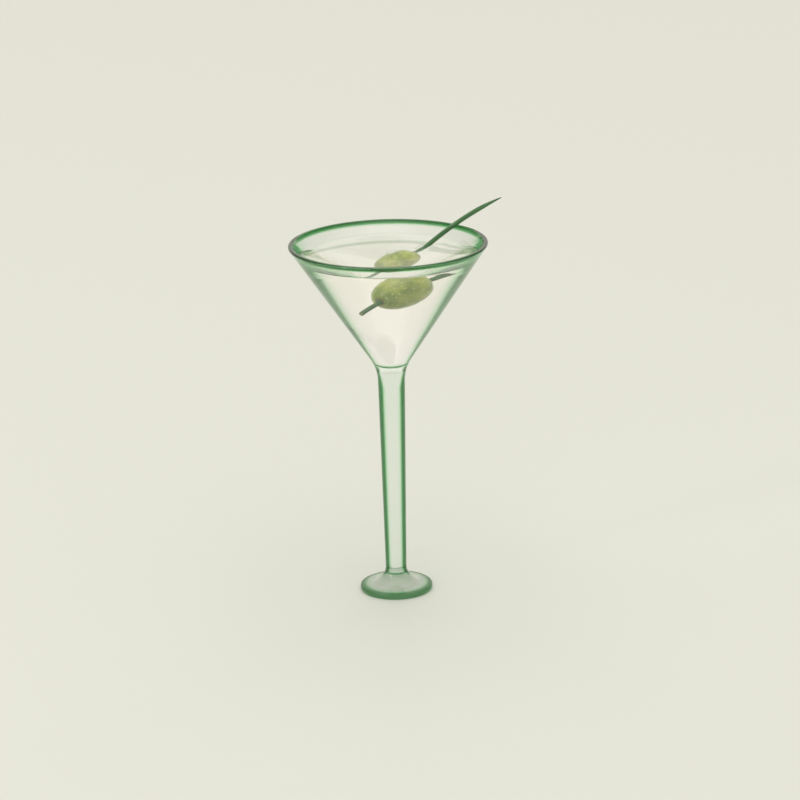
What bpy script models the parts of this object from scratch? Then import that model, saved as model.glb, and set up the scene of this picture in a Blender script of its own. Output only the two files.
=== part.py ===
"""A martini cocktail: a stemmed glass with a V-shaped bowl, its drink, and one olive on a bowed pick.

Everything is in metres with +Z up. The origin is the centre of the foot's underside, on the glass's
own axis. The drink fills the bowl to just under the rim, the pick stands with its blunt end on the
bowl's front wall and leans on the back of the rim, and the olive is threaded on it where it dips in.
"""

import math

import bpy
from mathutils import Matrix, Vector

# The glass, from the outside. The rim's radius is to its sharp corner: rounding takes 0.7 mm off.
GLASS_HEIGHT = 0.190
RIM_RADIUS = 0.0523
BOWL_DEPTH = 0.0675
STEM_TOP_RADIUS = 0.0072
STEM_BOTTOM_RADIUS = 0.0054
FOOT_RADIUS = 0.0192
FOOT_EDGE_HEIGHT = 0.0026
FOOT_CROWN_HEIGHT = 0.0052

# The glass's wall and roundings
RIM_WIDTH = 0.0028
BOWL_FLOOR_HEIGHT = 0.1245
BOWL_FLOOR_ROUNDING = 0.0070
RIM_ROUNDING = 0.00075
SHOULDER_ROUNDING = 0.0220
FOOT_ROUNDING = 0.0090
FOOT_EDGE_ROUNDING = 0.0010

# What is in it
DRINK_LEVEL = 0.1835
GAP = 0.0003

# The pick, whose lower end stands on the bowl's wall and whose upper part lies on the rim.
# Runs are level distances from its lower end, and the arch is its height above a straight line.
PICK_RADIUS = 0.00125
PICK_TIP_RADIUS = 0.00025
PICK_TAPER_RUN = 0.024
PICK_RUN = 0.1145
PICK_ARCH = 0.0068
PICK_FOOT_DEPTH = 0.0300
PICK_FOOT_AZIMUTH = math.radians(241.0)
PICK_RIM_AZIMUTH = math.radians(42.0)
PICK_POINTS = 18

# The olive, threaded lengthwise on the pick
OLIVE_LENGTH = 0.030
OLIVE_DIAMETER = 0.0200
OLIVE_RUN = 0.0280
OLIVE_BLUNTNESS = 0.07
OLIVE_DIMPLE_DEPTH = 0.0011
OLIVE_DIMPLE_RADIUS = 0.0030

# How finely round shapes are cut into flats
GLASS_SIDES = 60
OLIVE_SIDES = 28
OLIVE_RINGS = 18
ARC_STEP = math.radians(14.0)
PICK_BEVEL_RESOLUTION = 3
AXIS_MERGE = 0.00002

BOWL_SLOPE = (RIM_RADIUS - STEM_TOP_RADIUS) / BOWL_DEPTH
BOWL_HALF_ANGLE = math.atan(BOWL_SLOPE)


def clear_scene():
    """Removes whatever the scene held before."""
    for obj in list(bpy.data.objects):
        bpy.data.objects.remove(obj, do_unlink=True)


def new_collection(name):
    """A collection under the scene's own."""
    collection = bpy.data.collections.new(name)
    bpy.context.scene.collection.children.link(collection)
    return collection


def new_material(name, colour, roughness, transmission=0.0, ior=1.45):
    """A Principled material of one colour."""
    material = bpy.data.materials.new(name)
    material.use_nodes = True
    shader = material.node_tree.nodes["Principled BSDF"]
    shader.inputs["Base Color"].default_value = (*colour, 1.0)
    shader.inputs["Roughness"].default_value = roughness
    shader.inputs["Metallic"].default_value = 0.0
    shader.inputs["Transmission Weight"].default_value = transmission
    shader.inputs["IOR"].default_value = ior
    return material


def inner_radius(height):
    """Radius of the bowl's inner wall at a height, on its straight stretch."""
    return RIM_RADIUS - RIM_WIDTH - (GLASS_HEIGHT - height) * BOWL_SLOPE


def rounded_outline(corners):
    """Points (radius, height) along straight stretches whose corners are rounded.

    Each corner is (radius, height, rounding); a rounding of 0 keeps the corner sharp.
    """
    points = []
    for index, (radius, height, rounding) in enumerate(corners):
        corner = Vector((radius, height))
        if rounding == 0.0:
            points.append(corner)
            continue
        back = (Vector(corners[index - 1][:2]) - corner).normalized()
        ahead = (Vector(corners[index + 1][:2]) - corner).normalized()
        opening = back.angle(ahead)
        turn = math.pi - opening
        middle = corner + (back + ahead).normalized() * rounding / math.sin(opening / 2)
        start = corner + back * rounding / math.tan(opening / 2) - middle
        side = 1.0 if back.x * ahead.y - back.y * ahead.x < 0.0 else -1.0
        steps = max(2, math.ceil(turn / ARC_STEP))
        for step in range(steps + 1):
            angle = side * turn * step / steps
            points.append(middle + Matrix.Rotation(angle, 2) @ start)
    return points


def glass_outline():
    """The glass from the bowl's floor up the inside, over the rim and down to the foot's underside."""
    return rounded_outline(
        [
            (0.0, BOWL_FLOOR_HEIGHT, 0.0),
            (inner_radius(BOWL_FLOOR_HEIGHT), BOWL_FLOOR_HEIGHT, BOWL_FLOOR_ROUNDING),
            (RIM_RADIUS - RIM_WIDTH, GLASS_HEIGHT, RIM_ROUNDING),
            (RIM_RADIUS, GLASS_HEIGHT, RIM_ROUNDING),
            (STEM_TOP_RADIUS, GLASS_HEIGHT - BOWL_DEPTH, SHOULDER_ROUNDING),
            (STEM_BOTTOM_RADIUS, FOOT_CROWN_HEIGHT, FOOT_ROUNDING),
            (FOOT_RADIUS, FOOT_EDGE_HEIGHT, FOOT_EDGE_ROUNDING),
            (FOOT_RADIUS, 0.0, FOOT_EDGE_ROUNDING),
            (0.0, 0.0, 0.0),
        ]
    )


def drink_outline():
    """The drink from the middle of its surface out to the wall and down to its lowest point."""
    inset = GAP / math.cos(BOWL_HALF_ANGLE)
    floor = BOWL_FLOOR_HEIGHT + GAP
    return rounded_outline(
        [
            (0.0, DRINK_LEVEL, 0.0),
            (inner_radius(DRINK_LEVEL) - inset, DRINK_LEVEL, 0.0),
            (inner_radius(floor) - inset, floor, BOWL_FLOOR_ROUNDING - GAP),
            (0.0, floor, 0.0),
        ]
    )


def olive_outline(grow=0.0):
    """The olive from its upper end to its lower, blunter above and dimpled at both ends."""
    half = OLIVE_LENGTH / 2 + grow
    girth = OLIVE_DIAMETER / 2 + grow
    points = []
    for ring in range(OLIVE_RINGS + 1):
        angle = math.pi * ring / OLIVE_RINGS
        radius = girth * math.sin(angle) * (1.0 + OLIVE_BLUNTNESS * math.cos(angle))
        dimple = OLIVE_DIMPLE_DEPTH * math.exp(-((radius / OLIVE_DIMPLE_RADIUS) ** 2))
        points.append(Vector((radius, math.cos(angle) * (half - dimple))))
    points[0].x = points[-1].x = 0.0
    return points


def turned(name, outline, sides, collection, material):
    """An object turned about its own Z axis from an outline that runs down its outer side."""
    mesh = bpy.data.meshes.new(name)
    edges = [(i, i + 1) for i in range(len(outline) - 1)]
    mesh.from_pydata([(point.x, 0.0, point.y) for point in outline], edges, [])
    obj = bpy.data.objects.new(name, mesh)
    collection.objects.link(obj)
    obj.data.materials.append(material)
    screw = obj.modifiers.new("turn", "SCREW")
    screw.axis = "Z"
    screw.angle = math.tau
    screw.steps = screw.render_steps = sides
    screw.use_merge_vertices = True
    screw.merge_threshold = AXIS_MERGE
    screw.use_smooth_shade = True
    return obj


def on_circle(radius, azimuth, height):
    """A point at a radius and azimuth about the glass's axis."""
    return Vector((radius * math.cos(azimuth), radius * math.sin(azimuth), height))


class PickPath:
    """The pick's centre line: a shallow arch in one upright plane, from the wall over the rim."""

    def __init__(self):
        wall_height = GLASS_HEIGHT - PICK_FOOT_DEPTH
        wall = on_circle(inner_radius(wall_height), PICK_FOOT_AZIMUTH, wall_height)
        crossing = on_circle(RIM_RADIUS - RIM_WIDTH / 2, PICK_RIM_AZIMUTH, GLASS_HEIGHT)
        run = (crossing - wall).xy.length
        lean = math.atan(PICK_FOOT_DEPTH / run)
        stand_off = (PICK_RADIUS + GAP + RIM_ROUNDING) / math.cos(lean)
        self.heading = Vector((*((crossing - wall).xy / run), 0.0))
        self.bow = 4 * PICK_ARCH / PICK_RUN**2
        self.climb = (PICK_FOOT_DEPTH - RIM_ROUNDING + stand_off) / run + self.bow * run
        self.start = wall + self.foot_clearance()

    def foot_clearance(self):
        """The way from the wall to the middle of the blunt end, whose edge just clears the wall."""
        level = on_circle(-math.cos(BOWL_HALF_ANGLE), PICK_FOOT_AZIMUTH, 0.0)
        wall_normal = level + Vector((0.0, 0.0, math.sin(BOWL_HALF_ANGLE)))
        lean = self.tangent(0.0).dot(wall_normal)
        return wall_normal * (GAP + PICK_RADIUS * math.sqrt(1.0 - lean * lean))

    def tangent(self, run):
        """The pick's direction at a run."""
        return (self.heading + Vector((0.0, 0.0, self.climb - 2 * self.bow * run))).normalized()

    def at(self, run):
        """The point on the centre line at a run."""
        height = self.climb * run - self.bow * run * run
        return self.start + self.heading * run + Vector((0.0, 0.0, height))


def pick_radius(run):
    """The pick's radius, full up to its last stretch and then down to a fine tip."""
    left = min(1.0, (PICK_RUN - run) / PICK_TAPER_RUN)
    return PICK_TIP_RADIUS + (PICK_RADIUS - PICK_TIP_RADIUS) * math.sin(left * math.pi / 2)


def pick_curve(name, path, collection, material, grow=0.0):
    """The pick as a bevelled curve, thicker and longer by grow where it is to cut a seat."""
    curve = bpy.data.curves.new(name, "CURVE")
    curve.dimensions = "3D"
    curve.bevel_depth = PICK_RADIUS + grow
    curve.bevel_resolution = PICK_BEVEL_RESOLUTION
    curve.use_fill_caps = True
    spline = curve.splines.new("POLY")
    spline.points.add(PICK_POINTS - 1)
    for index, point in enumerate(spline.points):
        share = index / (PICK_POINTS - 1)
        run = PICK_RUN * math.sin(share * math.pi / 2)
        overrun = {0: -grow, PICK_POINTS - 1: grow}.get(index, 0.0)
        point.co = (*(path.at(run) + path.tangent(run) * overrun), 1.0)
        point.radius = (pick_radius(run) + grow) / (PICK_RADIUS + grow)
    obj = bpy.data.objects.new(name, curve)
    collection.objects.link(obj)
    obj.data.materials.append(material)
    return obj


def as_cutter(obj, collection):
    """The object's evaluated shape as a closed mesh that is kept out of the render."""
    bpy.context.view_layer.update()
    graph = bpy.context.evaluated_depsgraph_get()
    mesh = bpy.data.meshes.new_from_object(obj.evaluated_get(graph))
    cutter = bpy.data.objects.new(obj.name + "_cutter", mesh)
    cutter.matrix_world = obj.matrix_world
    collection.objects.link(cutter)
    weld = cutter.modifiers.new("weld", "WELD")
    weld.merge_threshold = AXIS_MERGE
    cutter.display_type = "WIRE"
    cutter.hide_render = True
    bpy.data.objects.remove(obj, do_unlink=True)
    return cutter


def cut(obj, cutter):
    """Takes the cutter's shape out of the object."""
    boolean = obj.modifiers.new(cutter.name, "BOOLEAN")
    boolean.operation = "DIFFERENCE"
    boolean.solver = "EXACT"
    boolean.object = cutter


def thread_on(obj, path, run):
    """Sets a turned object on the pick, with its axis along the pick."""
    obj.location = path.at(run)
    obj.rotation_euler = path.tangent(run).to_track_quat("Z", "Y").to_euler()


def main():
    """Builds the glass, its drink, the olive and the pick."""
    clear_scene()
    parts = new_collection("martini_cocktail")
    cutters = new_collection("cutters")
    glass_clear = new_material("glass_clear", (0.84, 0.94, 0.86), 0.02, 1.0, 1.5)
    drink_clear = new_material("drink_clear", (0.97, 0.96, 0.88), 0.0, 1.0, 1.34)
    olive_green = new_material("olive_green", (0.36, 0.42, 0.08), 0.32)
    pick_wood = new_material("pick_wood", (0.05, 0.17, 0.05), 0.42)

    path = PickPath()
    turned("glass", glass_outline(), GLASS_SIDES, parts, glass_clear)
    drink = turned("drink", drink_outline(), GLASS_SIDES, parts, drink_clear)
    olive = turned("olive", olive_outline(), OLIVE_SIDES, parts, olive_green)
    thread_on(olive, path, OLIVE_RUN)
    pick_curve("pick", path, parts, pick_wood)

    pick_seat = as_cutter(pick_curve("pick_seat", path, cutters, pick_wood, GAP), cutters)
    olive_seat = turned("olive_seat", olive_outline(GAP), OLIVE_SIDES, cutters, olive_green)
    thread_on(olive_seat, path, OLIVE_RUN)
    olive_seat = as_cutter(olive_seat, cutters)
    cut(olive, pick_seat)
    cut(drink, olive_seat)
    cut(drink, pick_seat)


main()
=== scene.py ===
"""Dresses the martini cocktail: green-tinted glass, a clear drink, a green olive and a green bamboo pick.

Every piece is turned, bent or laid from the same named sizes as the solids that it stands for, and
the frame gives the sizes that can be read from it. Lengths are in metres and +Z is up.
"""

import logging
import math
from dataclasses import dataclass, field
from enum import Enum

import bmesh
import bpy
from bmesh.types import BMesh
from bpy.types import Material, Node, NodeSocket, NodeTree, Object
from mathutils import Matrix, Quaternion, Vector
from mathutils.bvhtree import BVHTree


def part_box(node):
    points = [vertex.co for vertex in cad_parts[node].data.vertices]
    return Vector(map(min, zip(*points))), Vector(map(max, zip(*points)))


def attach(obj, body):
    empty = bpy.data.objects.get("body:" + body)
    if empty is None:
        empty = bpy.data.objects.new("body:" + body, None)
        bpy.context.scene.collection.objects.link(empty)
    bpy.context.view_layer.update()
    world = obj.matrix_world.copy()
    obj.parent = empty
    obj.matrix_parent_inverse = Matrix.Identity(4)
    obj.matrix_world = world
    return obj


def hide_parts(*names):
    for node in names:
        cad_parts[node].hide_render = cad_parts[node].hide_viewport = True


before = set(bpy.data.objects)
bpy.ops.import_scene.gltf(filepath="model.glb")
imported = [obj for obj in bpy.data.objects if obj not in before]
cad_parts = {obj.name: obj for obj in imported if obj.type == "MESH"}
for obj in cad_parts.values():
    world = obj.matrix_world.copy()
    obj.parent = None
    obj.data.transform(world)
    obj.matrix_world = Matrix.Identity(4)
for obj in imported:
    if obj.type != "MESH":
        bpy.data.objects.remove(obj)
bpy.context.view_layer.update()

log = logging.getLogger("martini_cocktail")

MM = 0.001
SHARP_ANGLE = math.radians(35.0)
OWN_COORDINATES = "own"
RGB = tuple[float, float, float]
Span = tuple[float, float]


class Slot(Enum):
    """The record's material slots."""

    GLASS = "glass_clear"
    DRINK = "drink_clear"
    OLIVE = "olive_green"
    PICK = "pick_wood"


@dataclass(frozen=True)
class Band:
    """Where a value's soft band rises and falls."""

    start: float
    full: float
    fall: float
    end: float


@dataclass(frozen=True)
class Patches:
    """How soft patches of noise lie: how many to a metre, how finely, and the noise that they span."""

    scale: float
    detail: float
    start: float
    end: float


class Bench:
    """A node tree with short ways to add nodes and to join them."""

    def __init__(self, tree: NodeTree) -> None:
        """Keeps the tree that is worked on.

        Args:
            tree: The node tree of a material, a world or a group.
        """
        self.tree = tree

    def add(self, kind: str, **settings: object) -> Node:
        """Adds a node.

        Args:
            kind: The node's type name without its ShaderNode prefix.
            settings: Properties of the node, by name.

        Returns:
            The new node.
        """
        node = self.tree.nodes.new("ShaderNode" + kind)
        for name, value in settings.items():
            setattr(node, name, value)
        return node

    def feed(self, socket: NodeSocket, source: NodeSocket | float | tuple[float, ...]) -> None:
        """Links a source to a socket, or sets the socket's plain value.

        Args:
            socket: The input that is fed.
            source: An output to link, or a value.
        """
        if isinstance(source, NodeSocket):
            self.tree.links.new(source, socket)
        else:
            socket.default_value = source

    def math(self, operation: str, *terms: NodeSocket | float) -> NodeSocket:
        """Adds a Math node.

        Args:
            operation: The node's operation, such as MULTIPLY.
            terms: Its inputs in order.

        Returns:
            The node's value.
        """
        node = self.add("Math", operation=operation)
        for socket, term in zip(node.inputs, terms):
            self.feed(socket, term)
        return node.outputs[0]

    def parts(self, vector: NodeSocket) -> tuple[NodeSocket, NodeSocket, NodeSocket]:
        """Splits a vector.

        Args:
            vector: What is split.

        Returns:
            Its X, Y and Z.
        """
        node = self.add("SeparateXYZ")
        self.feed(node.inputs[0], vector)
        return tuple(node.outputs)

    def radius_and_height(self) -> tuple[NodeSocket, NodeSocket]:
        """Reads how far out from the piece's own Z axis a place is, and how high up it."""
        across, deep, up = self.parts(self.own())
        squares = self.math("MULTIPLY_ADD", across, across, self.math("MULTIPLY", deep, deep))
        return self.math("SQRT", squares), up

    def step(
        self, value: NodeSocket, start: NodeSocket | float, end: NodeSocket | float
    ) -> NodeSocket:
        """Adds a soft step that rises from 0 to 1 as the value goes from start to end.

        Args:
            value: What is read.
            start: Where the step begins.
            end: Where it is complete, above or below start.

        Returns:
            The step's value.
        """
        node = self.add("MapRange", interpolation_type="SMOOTHSTEP")
        self.feed(node.inputs["Value"], value)
        self.feed(node.inputs["From Min"], start)
        self.feed(node.inputs["From Max"], end)
        return node.outputs["Result"]

    def band(self, value: NodeSocket, band: Band) -> NodeSocket:
        """Adds a soft band that rises from 0 to 1 and falls back to 0.

        Args:
            value: What is read.
            band: Where it rises and falls.

        Returns:
            The band's value.
        """
        rise = self.step(value, band.start, band.full)
        return self.math("MULTIPLY", rise, self.step(value, band.end, band.fall))

    def blend(
        self, share: NodeSocket | float, first: NodeSocket | RGB, second: NodeSocket | RGB
    ) -> NodeSocket:
        """Adds a mix of two colours.

        Args:
            share: How much of the second colour there is, from 0 to 1.
            first: The colour at share 0.
            second: The colour at share 1.

        Returns:
            The mixed colour.
        """
        node = self.add("Mix", data_type="RGBA")
        self.feed(node.inputs[0], share)
        for socket, colour in ((node.inputs[6], first), (node.inputs[7], second)):
            self.feed(socket, colour if isinstance(colour, NodeSocket) else (*colour, 1.0))
        return node.outputs[2]

    def ramp(self, value: NodeSocket, stops: tuple[tuple[float, RGB], ...]) -> NodeSocket:
        """Adds a colour ramp.

        Args:
            value: What is read, from 0 to 1.
            stops: Places along it and their colours.

        Returns:
            The ramp's colour.
        """
        node = self.add("ValToRGB")
        elements = node.color_ramp.elements
        while len(elements) < len(stops):
            elements.new(1.0)
        for element, (place, colour) in zip(elements, stops):
            element.position = place
            element.color = (*colour, 1.0)
        self.feed(node.inputs["Fac"], value)
        return node.outputs["Color"]

    def patches(self, vector: NodeSocket, kind: Patches) -> NodeSocket:
        """Places the group of soft patches.

        Args:
            vector: The coordinates that it reads.
            kind: How its patches lie.

        Returns:
            The patches as a mask.
        """
        node = self.add("Group", node_tree=soft_patches())
        for socket, value in zip(node.inputs, (vector, kind.scale, kind.detail, kind.start, kind.end)):
            self.feed(socket, value)
        return node.outputs["Mask"]

    def own(self) -> NodeSocket:
        """Reads the piece's coordinates as they were before it was bent and placed."""
        return self.add("Attribute", attribute_name=OWN_COORDINATES).outputs["Vector"]

    def relief(self, height: NodeSocket, depth: float) -> NodeSocket:
        """Adds a bump.

        Args:
            height: The relief, from 0 to 1.
            depth: How deep it is, in metres.

        Returns:
            The bumped normal.
        """
        node = self.add("Bump")
        self.feed(node.inputs["Height"], height)
        self.feed(node.inputs["Distance"], depth)
        return node.outputs["Normal"]


def soft_patches() -> NodeTree:
    """The node group that lays soft patches of noise, made the first time that it is asked for."""
    tree = bpy.data.node_groups.get("soft_patches")
    if tree is not None:
        return tree
    tree = bpy.data.node_groups.new("soft_patches", "ShaderNodeTree")
    tree.interface.new_socket("Vector", in_out="INPUT", socket_type="NodeSocketVector")
    for name in ("Scale", "Detail", "Start", "End"):
        tree.interface.new_socket(name, in_out="INPUT", socket_type="NodeSocketFloat")
    tree.interface.new_socket("Mask", in_out="OUTPUT", socket_type="NodeSocketFloat")
    given, given_out = tree.nodes.new("NodeGroupInput"), tree.nodes.new("NodeGroupOutput")
    bench = Bench(tree)
    noise = bench.add("TexNoise")
    for name in ("Vector", "Scale", "Detail"):
        bench.feed(noise.inputs[name], given.outputs[name])
    mask = bench.step(noise.outputs["Fac"], given.outputs["Start"], given.outputs["End"])
    bench.feed(given_out.inputs["Mask"], mask)
    return tree


def new_bench(name: str) -> tuple[Material, Bench, Node, Node]:
    """Makes a node material.

    Args:
        name: The material's name.

    Returns:
        The material, its bench, its Principled shader and its output node.
    """
    material = bpy.data.materials.new(name)
    material.use_nodes = True
    nodes = material.node_tree.nodes
    return material, Bench(material.node_tree), nodes["Principled BSDF"], nodes["Material Output"]


def absorption(through: RGB, depth: float) -> tuple[RGB, float]:
    """Works out a Volume Absorption's colour and density.

    Args:
        through: The share of each colour that passes through the depth.
        depth: A depth of the stuff, in metres.

    Returns:
        The colour and the density for the shader.
    """
    losses = [-math.log(share) / depth for share in through]
    density = max(losses)
    return tuple(1.0 - loss / density for loss in losses), density


@dataclass(frozen=True)
class ClearFinish:
    """Clear stuff that light passes through: glass, or a drink."""

    name: str
    ior: float
    through: RGB
    depth: float
    waves: Patches = Patches(12.0, 0.0, 0.2, 0.8)
    wave_depth: float = 0.02 * MM
    shadow: RGB = (0.95, 0.95, 0.95)
    shadow_edge: RGB = (0.55, 0.62, 0.55)
    shadow_span: Span = (0.55, 1.0)

    def tint(self, bench: Bench, shader: Node, facing: NodeSocket) -> None:
        """Leaves the surface clear.

        Args:
            bench: The material's bench.
            shader: Its Principled shader.
            facing: 0 where the surface is seen straight on and 1 where it is seen along.
        """
        shader.inputs["Base Color"].default_value = (1.0, 1.0, 1.0, 1.0)

    def material(self) -> Material:
        """Builds the finish as a material.

        Returns:
            A refracting surface that lets lamps through, round an absorbing inside.
        """
        material, bench, shader, output = new_bench(self.name)
        shader.inputs["Roughness"].default_value = 0.0
        shader.inputs["IOR"].default_value = self.ior
        shader.inputs["Transmission Weight"].default_value = 1.0
        facing = bench.add("LayerWeight").outputs["Facing"]
        self.tint(bench, shader, facing)
        waves = bench.patches(bench.own(), self.waves)
        bench.feed(shader.inputs["Normal"], bench.relief(waves, self.wave_depth))
        lamp_light = bench.add("BsdfTransparent")
        edge = bench.step(facing, *self.shadow_span)
        bench.feed(lamp_light.inputs["Color"], bench.blend(edge, self.shadow, self.shadow_edge))
        either = bench.add("MixShader")
        bench.feed(either.inputs[0], bench.add("LightPath").outputs["Is Shadow Ray"])
        bench.feed(either.inputs[1], shader.outputs[0])
        bench.feed(either.inputs[2], lamp_light.outputs[0])
        bench.feed(output.inputs["Surface"], either.outputs[0])
        inside = bench.add("VolumeAbsorption")
        colour, density = absorption(self.through, self.depth)
        inside.inputs["Color"].default_value = (*colour, 1.0)
        inside.inputs["Density"].default_value = density
        bench.feed(output.inputs["Volume"], inside.outputs[0])
        return material


@dataclass(frozen=True)
class GreenGlass(ClearFinish):
    """Green-tinted glass, dark green at its rim and its foot's border, with painted shade along its
    silhouettes.
    """

    clear: RGB = (1.0, 1.0, 1.0)
    pale: RGB = (0.48, 0.84, 0.52)
    green: RGB = (0.055, 0.30, 0.075)
    deep: RGB = (0.0035, 0.060, 0.007)
    foot_heights: Span = (8.5 * MM, 5.5 * MM)
    border_radii: Span = (14.2 * MM, 18.2 * MM)
    stem_heights: Band = Band(7.0 * MM, 11.0 * MM, 112.0 * MM, 128.0 * MM)
    bowl_heights: Span = (116.0 * MM, 134.0 * MM)
    rim_heights: Span = (187.2 * MM, 188.8 * MM)
    # Where the facing turns into painted shade along the silhouettes; the three gains shift it in the
    # foot, stem and bowl, and the bowl depth weakens it in the bowl.
    painted_edge_span: Span = (0.50, 0.80)
    foot_gain: float = -0.30
    stem_gain: float = 0.40
    bowl_gain: float = -0.01
    border_depth: float = 0.85
    bowl_depth: float = 0.87
    rim_depth: float = 0.86

    def tint(self, bench: Bench, shader: Node, facing: NodeSocket) -> None:
        """Tints the glass dark green at its rim and its foot's border, and darkens it along its
        silhouettes, partly for the long way through the glass there and partly as painted shade.

        Args:
            bench: The material's bench.
            shader: Its Principled shader.
            facing: 0 where the surface is seen straight on and 1 where it is seen along.
        """
        radius, up = bench.radius_and_height()
        foot = bench.step(up, *self.foot_heights)
        stem = bench.band(up, self.stem_heights)
        bowl = bench.step(up, *self.bowl_heights)
        # Painted shade: the glass darkens towards its silhouettes, more in the stem and less in the foot.
        painted_shade_facing = facing
        for zone, gain in ((foot, self.foot_gain), (stem, self.stem_gain), (bowl, self.bowl_gain)):
            painted_shade_facing = bench.math("MULTIPLY_ADD", zone, gain, painted_shade_facing)
        painted_edge_depth = bench.math("MULTIPLY_ADD", bowl, self.bowl_depth - 1.0, 1.0)
        edge = bench.math("MULTIPLY", bench.step(painted_shade_facing, *self.painted_edge_span), painted_edge_depth)
        border = bench.math("MULTIPLY", bench.step(radius, *self.border_radii), foot)
        border = bench.math("MULTIPLY", border, self.border_depth)
        rim = bench.math("MULTIPLY", bench.step(up, *self.rim_heights), self.rim_depth)
        # The painted edge shade joins the rim's and the foot border's own dark green.
        dark = bench.math("MAXIMUM", edge, bench.math("MAXIMUM", border, rim))
        stops = ((0.0, self.clear), (0.33, self.pale), (0.67, self.green), (1.0, self.deep))
        bench.feed(shader.inputs["Base Color"], bench.ramp(dark, stops))


@dataclass(frozen=True)
class OliveSkin:
    """Wet green olive skin: mottled, with pale dots, and painted shade in the hole round the pick."""

    name: str = "olive_skin"
    light: RGB = (0.40, 0.46, 0.080)
    dark: RGB = (0.20, 0.28, 0.035)
    dot: RGB = (0.62, 0.64, 0.24)
    hole_shade: RGB = (0.13, 0.15, 0.03)
    mottling: Patches = Patches(130.0, 3.0, 0.38, 0.66)
    dots: float = 430.0
    dot_span: Span = (0.30, 0.14)
    dot_strength: float = 0.8
    hole_shade_radii: Span = (3.4 * MM, 1.6 * MM)
    dents: Patches = Patches(320.0, 2.0, 0.25, 0.75)
    dent_depth: float = 0.10 * MM

    def material(self) -> Material:
        """Builds the finish as a material.

        Returns:
            A glossy skin whose colour and dots follow the olive's own form.
        """
        material, bench, shader, _ = new_bench(self.name)
        own = bench.own()
        radius, _ = bench.radius_and_height()
        skin = bench.blend(bench.patches(own, self.mottling), self.light, self.dark)
        cells = bench.add("TexVoronoi")
        bench.feed(cells.inputs["Vector"], own)
        bench.feed(cells.inputs["Scale"], self.dots)
        dots = bench.step(cells.outputs["Distance"], *self.dot_span)
        skin = bench.blend(bench.math("MULTIPLY", dots, self.dot_strength), skin, self.dot)
        # Painted shade of the hole round the pick, darker in the dimple at each end.
        hole_shade = bench.step(radius, *self.hole_shade_radii)
        bench.feed(shader.inputs["Base Color"], bench.blend(hole_shade, skin, self.hole_shade))
        shader.inputs["Roughness"].default_value = 0.30
        shader.inputs["Coat Weight"].default_value = 0.6
        shader.inputs["Coat Roughness"].default_value = 0.06
        shader.inputs["Subsurface Weight"].default_value = 0.12
        shader.inputs["Subsurface Radius"].default_value = (0.003, 0.004, 0.001)
        dents = bench.patches(own, self.dents)
        bench.feed(shader.inputs["Normal"], bench.relief(dents, self.dent_depth))
        return material


@dataclass(frozen=True)
class GreenBamboo:
    """Green-stained bamboo with fibres along the piece and a paler cut end."""

    name: str = "green_bamboo"
    stain: RGB = (0.030, 0.125, 0.034)
    fibre: RGB = (0.095, 0.240, 0.080)
    cut_end: RGB = (0.30, 0.36, 0.16)
    cut_span: Span = (0.20 * MM, 0.05 * MM)
    fibres: Patches = Patches(2600.0, 3.0, 0.42, 0.72)
    fibre_stretch: float = 0.03
    fibre_depth: float = 0.06 * MM

    def material(self) -> Material:
        """Builds the finish as a material.

        Returns:
            A satin wood whose fibres run along the piece's own Z.
        """
        material, bench, shader, _ = new_bench(self.name)
        stretch = bench.add("Mapping")
        bench.feed(stretch.inputs["Vector"], bench.own())
        stretch.inputs["Scale"].default_value = (1.0, 1.0, self.fibre_stretch)
        fibres = bench.patches(stretch.outputs[0], self.fibres)
        _, along = bench.radius_and_height()
        wood = bench.blend(fibres, self.stain, self.fibre)
        cut_end = bench.step(along, *self.cut_span)
        bench.feed(shader.inputs["Base Color"], bench.blend(cut_end, wood, self.cut_end))
        shader.inputs["Roughness"].default_value = 0.42
        bench.feed(shader.inputs["Normal"], bench.relief(fibres, self.fibre_depth))
        return material


def rounded_outline(
    corners: list[tuple[float, float, float]], arc_step: float = math.radians(4.0)
) -> list[Vector]:
    """Runs along straight stretches whose corners are rounded.

    Args:
        corners: A radius, a height and a rounding for each corner, 0 for a sharp one.
        arc_step: The largest turn between two points of an arc.

    Returns:
        The outline's points as (radius, height).
    """
    points = []
    for index, (radius, height, rounding) in enumerate(corners):
        corner = Vector((radius, height))
        if rounding == 0.0:
            points.append(corner)
            continue
        back = (Vector(corners[index - 1][:2]) - corner).normalized()
        ahead = (Vector(corners[index + 1][:2]) - corner).normalized()
        opening = back.angle(ahead)
        turn = math.pi - opening
        middle = corner + (back + ahead).normalized() * rounding / math.sin(opening / 2)
        start = corner + back * rounding / math.tan(opening / 2) - middle
        side = 1.0 if back.x * ahead.y - back.y * ahead.x < 0.0 else -1.0
        steps = max(2, math.ceil(turn / arc_step))
        for step in range(steps + 1):
            points.append(middle + Matrix.Rotation(side * turn * step / steps, 2) @ start)
    return points


def held_straight(outline: list[Vector], hold: float = 0.4 * MM, reach: float = 4.0 * MM) -> list[Vector]:
    """Adds points to long straight stretches, close to their ends and evenly between.

    Args:
        outline: Points (radius, height).
        hold: How far from a stretch's ends its first and last added points are.
        reach: The longest distance between two points.

    Returns:
        The fuller outline, which keeps smooth shading true on straight stretches.
    """
    points = [outline[0]]
    for start, end in zip(outline, outline[1:]):
        length = (end - start).length
        if length > 4 * hold:
            inner = [start.lerp(end, hold / length), start.lerp(end, 1.0 - hold / length)]
            parts = math.ceil((length - 2 * hold) / reach)
            points += [inner[0].lerp(inner[1], part / parts) for part in range(parts + 1)]
        points.append(end)
    return points


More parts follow.
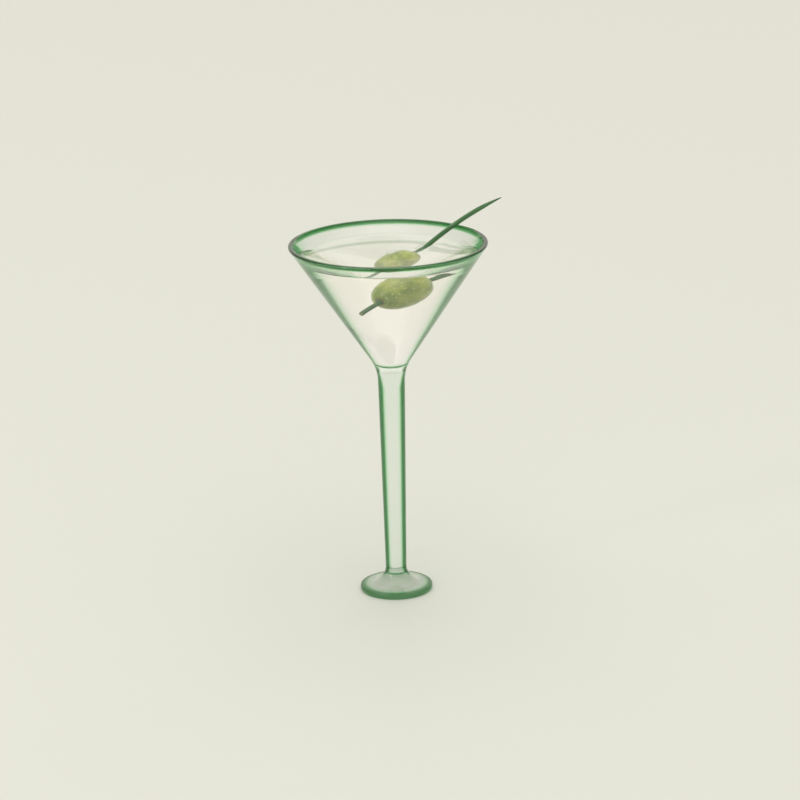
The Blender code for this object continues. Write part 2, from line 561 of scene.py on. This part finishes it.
def turned(outline: list[Vector], sides: int) -> BMesh:
    """Turns an outline about the Z axis into a closed form.

    Args:
        outline: Points (radius, height), from the axis round to the axis.
        sides: How many flats go round.

    Returns:
        The closed form, with its faces outwards and its own coordinates kept on its vertices.
    """
    form = bmesh.new()
    verts = [form.verts.new((point.x, 0.0, point.y)) for point in held_straight(outline)]
    edges = [form.edges.new(pair) for pair in zip(verts, verts[1:])]
    axis, middle = Vector((0.0, 0.0, 1.0)), Vector()
    bmesh.ops.spin(
        form, geom=verts + edges, cent=middle, axis=axis, angle=math.tau, steps=sides, use_merge=True
    )
    bmesh.ops.remove_doubles(form, verts=form.verts, dist=0.002 * MM)
    bmesh.ops.recalc_face_normals(form, faces=form.faces)
    own = form.verts.layers.float_vector.new(OWN_COORDINATES)
    for vert in form.verts:
        vert[own] = vert.co
    return form


def shown(name: str, form: BMesh, node: str, material: Material) -> Object:
    """Makes a finished piece that stands for a solid of the frame.

    Args:
        name: The piece's name.
        form: Its form, in place, which is used up.
        node: The solid that it replaces.
        material: Its finish.

    Returns:
        The piece.
    """
    mesh = bpy.data.meshes.new(name)
    form.to_mesh(mesh)
    form.free()
    mesh.shade_smooth()
    mesh.set_sharp_from_angle(angle=SHARP_ANGLE)
    mesh.materials.append(material)
    piece = bpy.data.objects.new(name, mesh)
    bpy.context.scene.collection.objects.link(piece)
    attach(piece, "root")
    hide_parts(node)
    log.info("%s stands for %s with %d faces", name, node, len(mesh.polygons))
    return piece


def on_circle(radius: float, azimuth: float, height: float) -> Vector:
    """The point at a radius, azimuth and height about the glass's axis."""
    return Vector((radius * math.cos(azimuth), radius * math.sin(azimuth), height))


@dataclass
class StemmedGlass:
    """The glass: a V-shaped bowl, a stem and a foot, turned in one."""

    height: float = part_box("glass")[1].z
    rim_radius: float = 52.3 * MM
    rim_width: float = 2.8 * MM
    rim_rounding: float = 0.75 * MM
    bowl_depth: float = 67.5 * MM
    bowl_floor: float = 124.5 * MM
    bowl_floor_rounding: float = 7.0 * MM
    stem_top_radius: float = 7.2 * MM
    stem_bottom_radius: float = 5.4 * MM
    shoulder_rounding: float = 22.0 * MM
    foot_radius: float = 19.2 * MM
    foot_edge_height: float = 2.6 * MM
    foot_crown_height: float = 5.2 * MM
    foot_rounding: float = 9.0 * MM
    foot_edge_rounding: float = 1.0 * MM
    sides: int = 192
    finish: GreenGlass = GreenGlass(
        "green_glass", 1.5, (0.93, 0.975, 0.94), 10.0 * MM, Patches(38.0, 0.0, 0.2, 0.8), 0.08 * MM
    )

    @property
    def slope(self) -> float:
        """How much the bowl widens for each metre of height."""
        return (self.rim_radius - self.stem_top_radius) / self.bowl_depth

    @property
    def half_angle(self) -> float:
        """The angle between the bowl's wall and the axis."""
        return math.atan(self.slope)

    def inner_radius(self, height: float) -> float:
        """The radius of the bowl's inner wall at a height."""
        return self.rim_radius - self.rim_width - (self.height - height) * self.slope

    def outline(self) -> list[Vector]:
        """The glass from the bowl's floor over the rim and down to the foot's underside."""
        return rounded_outline(
            [
                (0.0, self.bowl_floor, 0.0),
                (self.inner_radius(self.bowl_floor), self.bowl_floor, self.bowl_floor_rounding),
                (self.rim_radius - self.rim_width, self.height, self.rim_rounding),
                (self.rim_radius, self.height, self.rim_rounding),
                (self.stem_top_radius, self.height - self.bowl_depth, self.shoulder_rounding),
                (self.stem_bottom_radius, self.foot_crown_height, self.foot_rounding),
                (self.foot_radius, self.foot_edge_height, self.foot_edge_rounding),
                (self.foot_radius, 0.0, self.foot_edge_rounding),
                (0.0, 0.0, 0.0),
            ]
        )

    def build(self) -> Object:
        """Makes the glass."""
        form = turned(self.outline(), self.sides)
        return shown("glass_body", form, "glass", self.finish.material())


@dataclass
class Pick:
    """The pick: a slim rod with a fine tip, bent to a shallow arch over the rim."""

    glass: StemmedGlass
    radius: float = 1.25 * MM
    tip_radius: float = 0.25 * MM
    taper_run: float = 24.0 * MM
    run: float = 114.5 * MM
    arch: float = 6.8 * MM
    gap: float = 0.3 * MM
    foot_depth: float = 30.0 * MM
    foot_azimuth: float = math.radians(241.0)
    rim_azimuth: float = math.radians(42.0)
    end_rounding: float = 0.2 * MM
    sides: int = 32
    rings: int = 96
    finish: GreenBamboo = GreenBamboo()
    heading: Vector = field(init=False)
    bow: float = field(init=False)
    climb: float = field(init=False)
    start: Vector = field(init=False)

    def __post_init__(self) -> None:
        """Lays the centre line from the bowl's wall over the rim."""
        glass = self.glass
        wall_height = glass.height - self.foot_depth
        wall = on_circle(glass.inner_radius(wall_height), self.foot_azimuth, wall_height)
        crossing_radius = glass.rim_radius - glass.rim_width / 2
        crossing = on_circle(crossing_radius, self.rim_azimuth, glass.height)
        run = (crossing - wall).xy.length
        lean = math.atan(self.foot_depth / run)
        stand_off = (self.radius + self.gap + glass.rim_rounding) / math.cos(lean)
        self.heading = Vector((*((crossing - wall).xy / run), 0.0))
        self.bow = 4 * self.arch / self.run**2
        rise = self.foot_depth - glass.rim_rounding + stand_off
        self.climb = rise / run + self.bow * run
        self.start = wall + self.foot_clearance()

    def foot_clearance(self) -> Vector:
        """The way from the wall to the middle of the blunt end, whose edge just clears the wall."""
        level = on_circle(-math.cos(self.glass.half_angle), self.foot_azimuth, 0.0)
        wall_normal = level + Vector((0.0, 0.0, math.sin(self.glass.half_angle)))
        lean = self.tangent(0.0).dot(wall_normal)
        return wall_normal * (self.gap + self.radius * math.sqrt(1.0 - lean * lean))

    def tangent(self, run: float) -> Vector:
        """The pick's direction at a level distance from its lower end."""
        climb = self.climb - 2 * self.bow * run
        return (self.heading + Vector((0.0, 0.0, climb))).normalized()

    def at(self, run: float) -> Vector:
        """The point on the centre line at a level distance from the lower end."""
        height = self.climb * run - self.bow * run * run
        return self.start + self.heading * run + Vector((0.0, 0.0, height))

    def thickness(self, run: float) -> float:
        """The pick's radius at a level distance from the lower end."""
        left = min(1.0, (self.run - run) / self.taper_run)
        share = math.sin(left * math.pi / 2)
        return self.tip_radius + (self.radius - self.tip_radius) * share

    def outline(self) -> list[Vector]:
        """The straight pick's outline, whose heights are runs."""
        blunt = rounded_outline(
            [(0.0, 0.0, 0.0), (self.radius, 0.0, self.end_rounding), (self.radius, self.run, 0.0)],
            math.radians(20.0),
        )[:-1]
        runs = [self.run * (ring + 1) / self.rings for ring in range(self.rings)]
        shaft = [Vector((self.thickness(run), run)) for run in runs]
        tip = [Vector((0.0, self.run + self.tip_radius / 2))]
        return blunt + shaft + tip

    def bend(self, form: BMesh) -> None:
        """Lays a straight form along the centre line.

        Args:
            form: A form whose Z is a level distance from the lower end.
        """
        for vert in form.verts:
            run = vert.co.z
            turn = self.tangent(run).to_track_quat("Z", "Y")
            vert.co = self.at(run) + turn @ Vector((vert.co.x, vert.co.y, 0.0))

    def form(self) -> BMesh:
        """The pick's form in place."""
        form = turned(self.outline(), self.sides)
        self.bend(form)
        return form

    def build(self) -> Object:
        """Makes the pick."""
        return shown("pick_shaft", self.form(), "pick", self.finish.material())


@dataclass
class Olive:
    """The olive, threaded lengthwise on the pick."""

    pick: Pick
    length: float = 30.0 * MM
    diameter: float = 20.0 * MM
    run: float = 28.0 * MM
    bluntness: float = 0.07
    dimple_depth: float = 1.1 * MM
    dimple_radius: float = 3.0 * MM
    sides: int = 96
    rings: int = 72
    finish: OliveSkin = OliveSkin()

    def outline(self) -> list[Vector]:
        """The olive from its upper end to its lower, blunter above and dimpled at both ends."""
        points = []
        for ring in range(self.rings + 1):
            angle = math.pi * ring / self.rings
            swell = 1.0 + self.bluntness * math.cos(angle)
            radius = self.diameter / 2 * math.sin(angle) * swell
            dimple = self.dimple_depth * math.exp(-((radius / self.dimple_radius) ** 2))
            points.append(Vector((radius, math.cos(angle) * (self.length / 2 - dimple))))
        points[0].x = points[-1].x = 0.0
        return points

    def form(self) -> BMesh:
        """The olive's form in place."""
        form = turned(self.outline(), self.sides)
        turn = self.pick.tangent(self.run).to_track_quat("Z", "Y").to_matrix().to_4x4()
        place = Matrix.Translation(self.pick.at(self.run)) @ turn
        bmesh.ops.transform(form, matrix=place, verts=form.verts)
        return form

    def build(self) -> Object:
        """Makes the olive."""
        return shown("olive_flesh", self.form(), "olive", self.finish.material())


@dataclass
class Drink:
    """The drink, whose surface climbs a little at the wall, the olive and the pick."""

    glass: StemmedGlass
    olive: Olive
    pick: Pick
    level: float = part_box("drink")[1].z
    reach: float = 0.1 * MM
    wall_climb: float = 0.9 * MM
    garnish_climb: float = 0.7 * MM
    climb_width: float = 1.3 * MM
    ring_step: float = 0.5 * MM
    sides: int = 192
    finish: ClearFinish = ClearFinish("clear_drink", 1.34, (0.985, 0.975, 0.94), 50.0 * MM)

    def outline(self) -> list[Vector]:
        """The drink from the middle of its surface out to the wall and down to its lowest point."""
        glass = self.glass
        outset = self.reach / math.cos(glass.half_angle)
        top = self.level + self.wall_climb
        edge = glass.inner_radius(top) + outset
        rings = round(edge / self.ring_step)
        surface = []
        for ring in range(rings + 1):
            radius = edge * ring / rings
            from_wall = (edge - radius) * math.cos(glass.half_angle)
            climb = self.wall_climb * math.exp(-from_wall / self.climb_width)
            surface.append(Vector((radius, self.level + climb)))
        floor = glass.bowl_floor - self.reach
        under = rounded_outline(
            [
                (edge, top, 0.0),
                (glass.inner_radius(floor) + outset, floor, glass.bowl_floor_rounding + self.reach),
                (0.0, floor, 0.0),
            ]
        )
        return surface + under[1:]

    def climb_up(self, form: BMesh) -> None:
        """Lifts the surface where it meets the olive and the pick.

        Args:
            form: The turned drink.
        """
        garnishes = [self.olive.form(), self.pick.form()]
        trees = [BVHTree.FromBMesh(garnish) for garnish in garnishes]
        for vert in form.verts:
            if vert.co.z < self.level:
                continue
            distance = min(tree.find_nearest(vert.co)[3] for tree in trees)
            vert.co.z += self.garnish_climb * math.exp(-distance / self.climb_width)
        for garnish in garnishes:
            garnish.free()

    def build(self) -> Object:
        """Makes the drink."""
        form = turned(self.outline(), self.sides)
        self.climb_up(form)
        return shown("drink_body", form, "drink", self.finish.material())


@dataclass
class Studio:
    """A plain pale floor, soft light and the camera."""

    floor_radius: float = 12.0
    floor_sides: int = 96
    floor_colour: RGB = (0.745, 0.757, 0.712)
    floor_roughness: float = 0.55
    horizon_colour: RGB = (0.735, 0.728, 0.637)
    sky_colour: RGB = (0.90, 0.853, 0.785)
    side_colour: RGB = (0.10, 0.22, 0.11)
    top_colour: RGB = (1.58, 1.54, 1.46)
    sky_heights: Span = (0.005, 0.10)
    side_heights: Band = Band(0.03, 0.12, 0.55, 0.85)
    side_widths: Band = Band(0.48, 0.68, 0.86, 0.95)
    side_depths: Span = (-0.45, 0.15)
    side_share_near: float = 0.4
    top_heights: Span = (0.62, 0.90)
    top_widths: Span = (0.50, 0.25)
    lamp_place: Vector = field(default_factory=lambda: Vector((-3.0, -2.2, 2.4)))
    lamp_size: tuple[float, float] = (0.50, 2.2)
    lamp_power: float = 32.0
    light_bounces: int = 96
    camera_distance: float = 1.5
    camera_height: float = 0.573
    aim: Vector = field(default_factory=lambda: Vector((0.00423, 0.0, 0.1048)))
    roll: float = math.radians(-1.41)
    lens: float = 134.8

    def floor(self) -> None:
        """Lays the floor."""
        material, _, shader, _ = new_bench("pale_floor")
        shader.inputs["Base Color"].default_value = (*self.floor_colour, 1.0)
        shader.inputs["Roughness"].default_value = self.floor_roughness
        form = bmesh.new()
        bmesh.ops.create_circle(
            form, cap_ends=True, segments=self.floor_sides, radius=self.floor_radius
        )
        mesh = bpy.data.meshes.new("floor")
        form.to_mesh(mesh)
        form.free()
        mesh.materials.append(material)
        floor = bpy.data.objects.new("floor", mesh)
        bpy.context.scene.collection.objects.link(floor)

    def sky(self) -> None:
        """Surrounds the scene with pale light, brightest overhead, and a dim green stripe each side."""
        world = bpy.data.worlds.new("pale_sky")
        bpy.context.scene.world = world
        world.use_nodes = True
        bench = Bench(world.node_tree)
        across, ahead, up = bench.parts(bench.add("TexCoord").outputs["Generated"])
        aside = bench.math("ABSOLUTE", across)
        colour = bench.blend(bench.step(up, *self.sky_heights), self.horizon_colour, self.sky_colour)
        sides = bench.math(
            "MULTIPLY", bench.band(up, self.side_heights), bench.band(aside, self.side_widths)
        )
        near = self.side_share_near
        behind = bench.math("MULTIPLY_ADD", bench.step(ahead, *self.side_depths), 1.0 - near, near)
        colour = bench.blend(bench.math("MULTIPLY", sides, behind), colour, self.side_colour)
        top = bench.math(
            "MULTIPLY", bench.step(up, *self.top_heights), bench.step(aside, *self.top_widths)
        )
        colour = bench.blend(top, colour, self.top_colour)
        bench.feed(world.node_tree.nodes["Background"].inputs["Color"], colour)

    def lamp(self) -> None:
        """Hangs a tall soft lamp that faces the glass."""
        light = bpy.data.lights.new("key_lamp", "AREA")
        light.shape = "RECTANGLE"
        light.size, light.size_y = self.lamp_size
        light.energy = self.lamp_power
        lamp = bpy.data.objects.new("key_lamp", light)
        lamp.location = self.lamp_place
        lamp.visible_transmission = False
        lamp.rotation_euler = (self.aim - self.lamp_place).to_track_quat("-Z", "Y").to_euler()
        bpy.context.scene.collection.objects.link(lamp)

    def camera(self) -> None:
        """Sets the camera in front of the glass, looking down on its rim, and rolls it a little."""
        data = bpy.data.cameras.new("camera")
        data.sensor_width = 36.0
        data.lens = self.lens
        data.clip_start, data.clip_end = 0.05, 100.0
        camera = bpy.data.objects.new("camera", data)
        camera.location = (0.0, -self.camera_distance, self.camera_height)
        looking = (self.aim - camera.location).to_track_quat("-Z", "Y")
        camera.rotation_mode = "QUATERNION"
        camera.rotation_quaternion = looking @ Quaternion((0.0, 0.0, 1.0), self.roll)
        bpy.context.scene.collection.objects.link(camera)
        bpy.context.scene.camera = camera

    def build(self) -> None:
        """Sets everything up."""
        self.floor()
        self.sky()
        self.lamp()
        self.camera()
        scene = bpy.context.scene
        scene.view_settings.view_transform = "Standard"
        scene.cycles.max_bounces = self.light_bounces
        scene.cycles.glossy_bounces = self.light_bounces
        scene.cycles.transmission_bounces = self.light_bounces


def main() -> None:
    """Builds every piece and the studio."""
    glass = StemmedGlass()
    pick = Pick(glass)
    olive = Olive(pick)
    drink = Drink(glass, olive, pick)
    for sub_assembly in (glass, drink, olive, pick, Studio()):
        sub_assembly.build()


if __name__ == "__main__":
    logging.basicConfig(level=logging.INFO)
    main()
